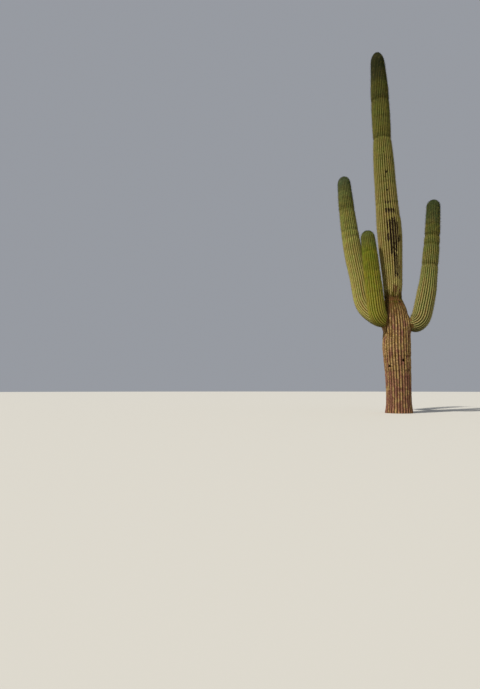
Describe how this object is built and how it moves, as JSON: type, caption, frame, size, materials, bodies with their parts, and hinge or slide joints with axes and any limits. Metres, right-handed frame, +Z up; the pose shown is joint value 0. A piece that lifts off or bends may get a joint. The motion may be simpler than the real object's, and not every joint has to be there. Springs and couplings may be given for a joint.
{
  "type": "saguaro cactus",
  "caption": "Tall ribbed desert cactus rooted in level ground: a fluted column with a corky brown foot and a narrow waist, and upturned arms.",
  "frame": {"origin": "middle of the flat cut at ground level", "axes": "+Z up along the trunk, -Y towards the viewer of the front, +X to the right seen from there, where the single right arm stands"},
  "size_m": [1.9118, 1.0728, 7],
  "materials": {
    "trunk_skin": "waxy olive green skin above the waist, dry brown cork below it",
    "arm_skin": "waxy olive green skin, paler on the rib crests",
    "spines": "dry straw-grey spines and felted pads"
  },
  "bodies": {
    "root": {"trunk": "trunk_skin", "right_arm_elbow": "arm_skin", "right_arm_column": "arm_skin", "left_outer_arm_elbow": "arm_skin", "left_outer_arm_column": "arm_skin", "left_inner_arm_elbow": "arm_skin", "left_inner_arm_column": "arm_skin"}
  },
  "joints": []
}
